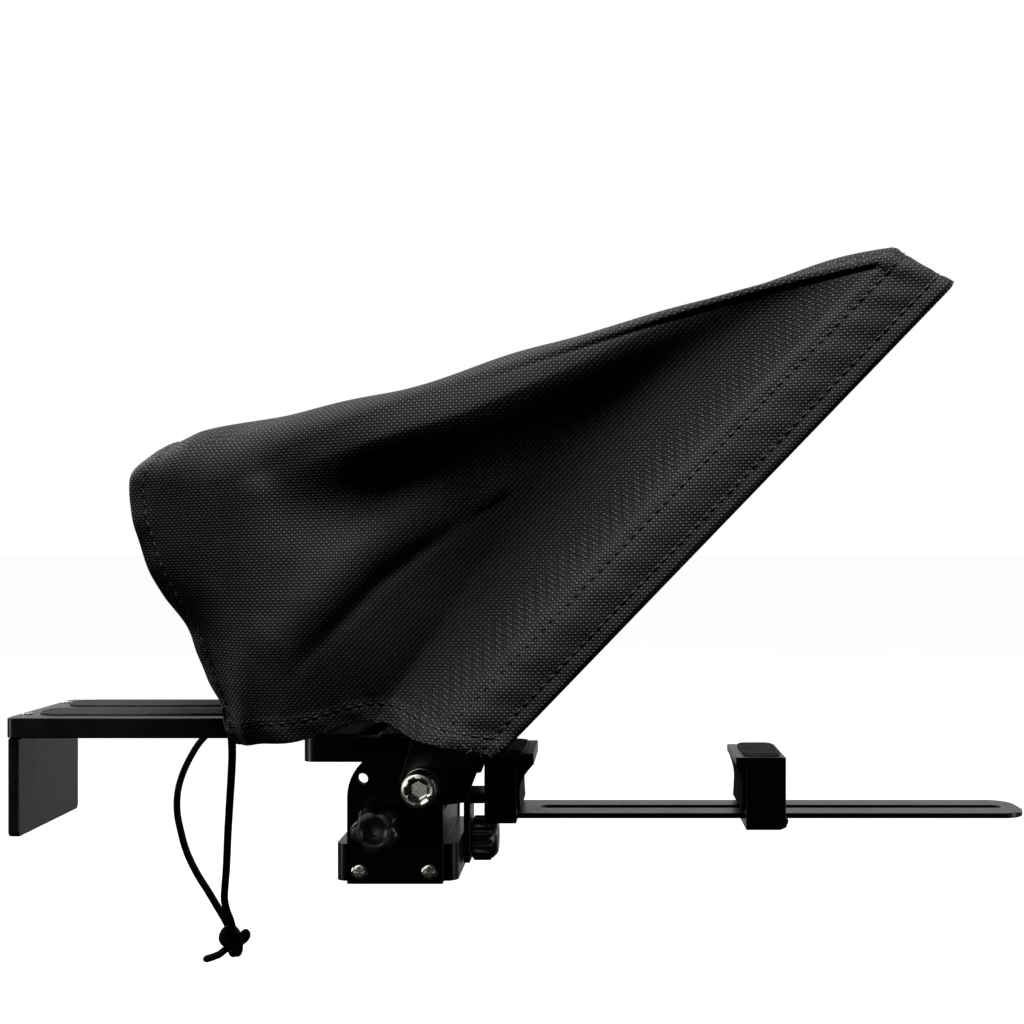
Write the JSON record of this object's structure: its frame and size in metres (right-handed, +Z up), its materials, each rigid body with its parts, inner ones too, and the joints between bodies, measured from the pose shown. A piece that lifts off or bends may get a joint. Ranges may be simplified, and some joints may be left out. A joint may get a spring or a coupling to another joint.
{
  "type": "teleprompter",
  "caption": "Small phone teleprompter: tilted beam-splitter glass with a drawstring cloth hood, sliding phone clamp, camera plate and rail, for a tripod head.",
  "frame": {"origin": "on the tripod screw's axis, in the bottom face of the base block", "axes": "+Z up, +X from the camera towards the phone and the speaker, +Y to the speaker's right, away from the side with the lock knob"},
  "size_m": [0.3792, 0.17, 0.2562],
  "materials": {
    "black_metal": "satin black anodised aluminium",
    "black_plastic": "moulded black plastic, light satin",
    "rubber": "matte dark grey rubber",
    "steel_fasteners": "nickel-plated steel",
    "hood_cloth": "coarse plain-woven nylon",
    "drawstring": "braided cord",
    "coated_glass": "beam-splitter coating"
  },
  "bodies": {
    "bracket": {"base_block": "black_metal", "near_cheek": "black_metal", "near_cheek_screw_rear": "steel_fasteners", "near_cheek_screw_front": "steel_fasteners", "far_cheek": "black_metal", "far_cheek_screw_rear": "steel_fasteners", "far_cheek_screw_front": "steel_fasteners", "pivot_sleeve": "black_metal", "tilt_screw": "steel_fasteners", "tilt_washer": "steel_fasteners", "tilt_nut": "steel_fasteners", "camera_plate": "black_metal", "rear_plate_pad": "rubber", "front_plate_pad": "rubber", "camera_rail": "black_metal", "near_rail_strip": "rubber", "far_rail_strip": "rubber", "joining_strap": "black_metal", "strap_screw_rear": "steel_fasteners", "strap_screw_front": "steel_fasteners", "end_plate": "black_metal", "end_plate_screw_near": "steel_fasteners", "end_plate_screw_far": "steel_fasteners", "phone_arm": "black_metal", "slotted_bar": "black_metal", "fixed_jaw": "black_metal", "fixed_jaw_pad": "rubber", "fixed_jaw_liner": "rubber"},
    "glass_mount": {"near_tilt_arm": "black_metal", "far_tilt_arm": "black_metal", "frame_bottom_bar": "black_plastic", "frame_top_bar": "black_plastic", "frame_near_bar": "black_plastic", "frame_far_bar": "black_plastic", "beam_splitter_glass": "coated_glass", "glass_clip_lower_near": "black_plastic", "glass_clip_upper_near": "black_plastic", "glass_clip_lower_far": "black_plastic", "glass_clip_upper_far": "black_plastic", "hood": "hood_cloth", "near_drawstring": "drawstring", "far_drawstring": "drawstring", "drawstring_tail": "drawstring", "drawstring_knot": "drawstring"},
    "lock_knob": {"lock_knob": "black_plastic"},
    "clamp_knob": {"clamp_knob": "black_plastic"},
    "sliding_jaw": {"sliding_jaw": "black_metal", "sliding_jaw_pad": "rubber", "sliding_jaw_liner": "rubber"}
  },
  "joints": [
    {"name": "glass_tilt", "type": "hinge", "parent": "bracket", "child": "glass_mount", "pos_m": [0.0108, 0, 0.0372], "axis": [0, 1, 0], "range_deg": [-30, 15]},
    {"name": "lock_knob_turn", "type": "hinge", "parent": "bracket", "child": "lock_knob", "pos_m": [-0.0057, -0.035, 0.0216], "axis": [0, 1, 0], "range_deg": [-360, 0]},
    {"name": "clamp_knob_turn", "type": "hinge", "parent": "bracket", "child": "clamp_knob", "pos_m": [0.03, 0, 0.0105], "axis": [1, 0, 0], "range_deg": [0, 360]},
    {"name": "jaw_slide", "type": "slide", "parent": "bracket", "child": "sliding_jaw", "axis": [1, 0, 0], "range_m": [-0.066, 0.08]}
  ]
}
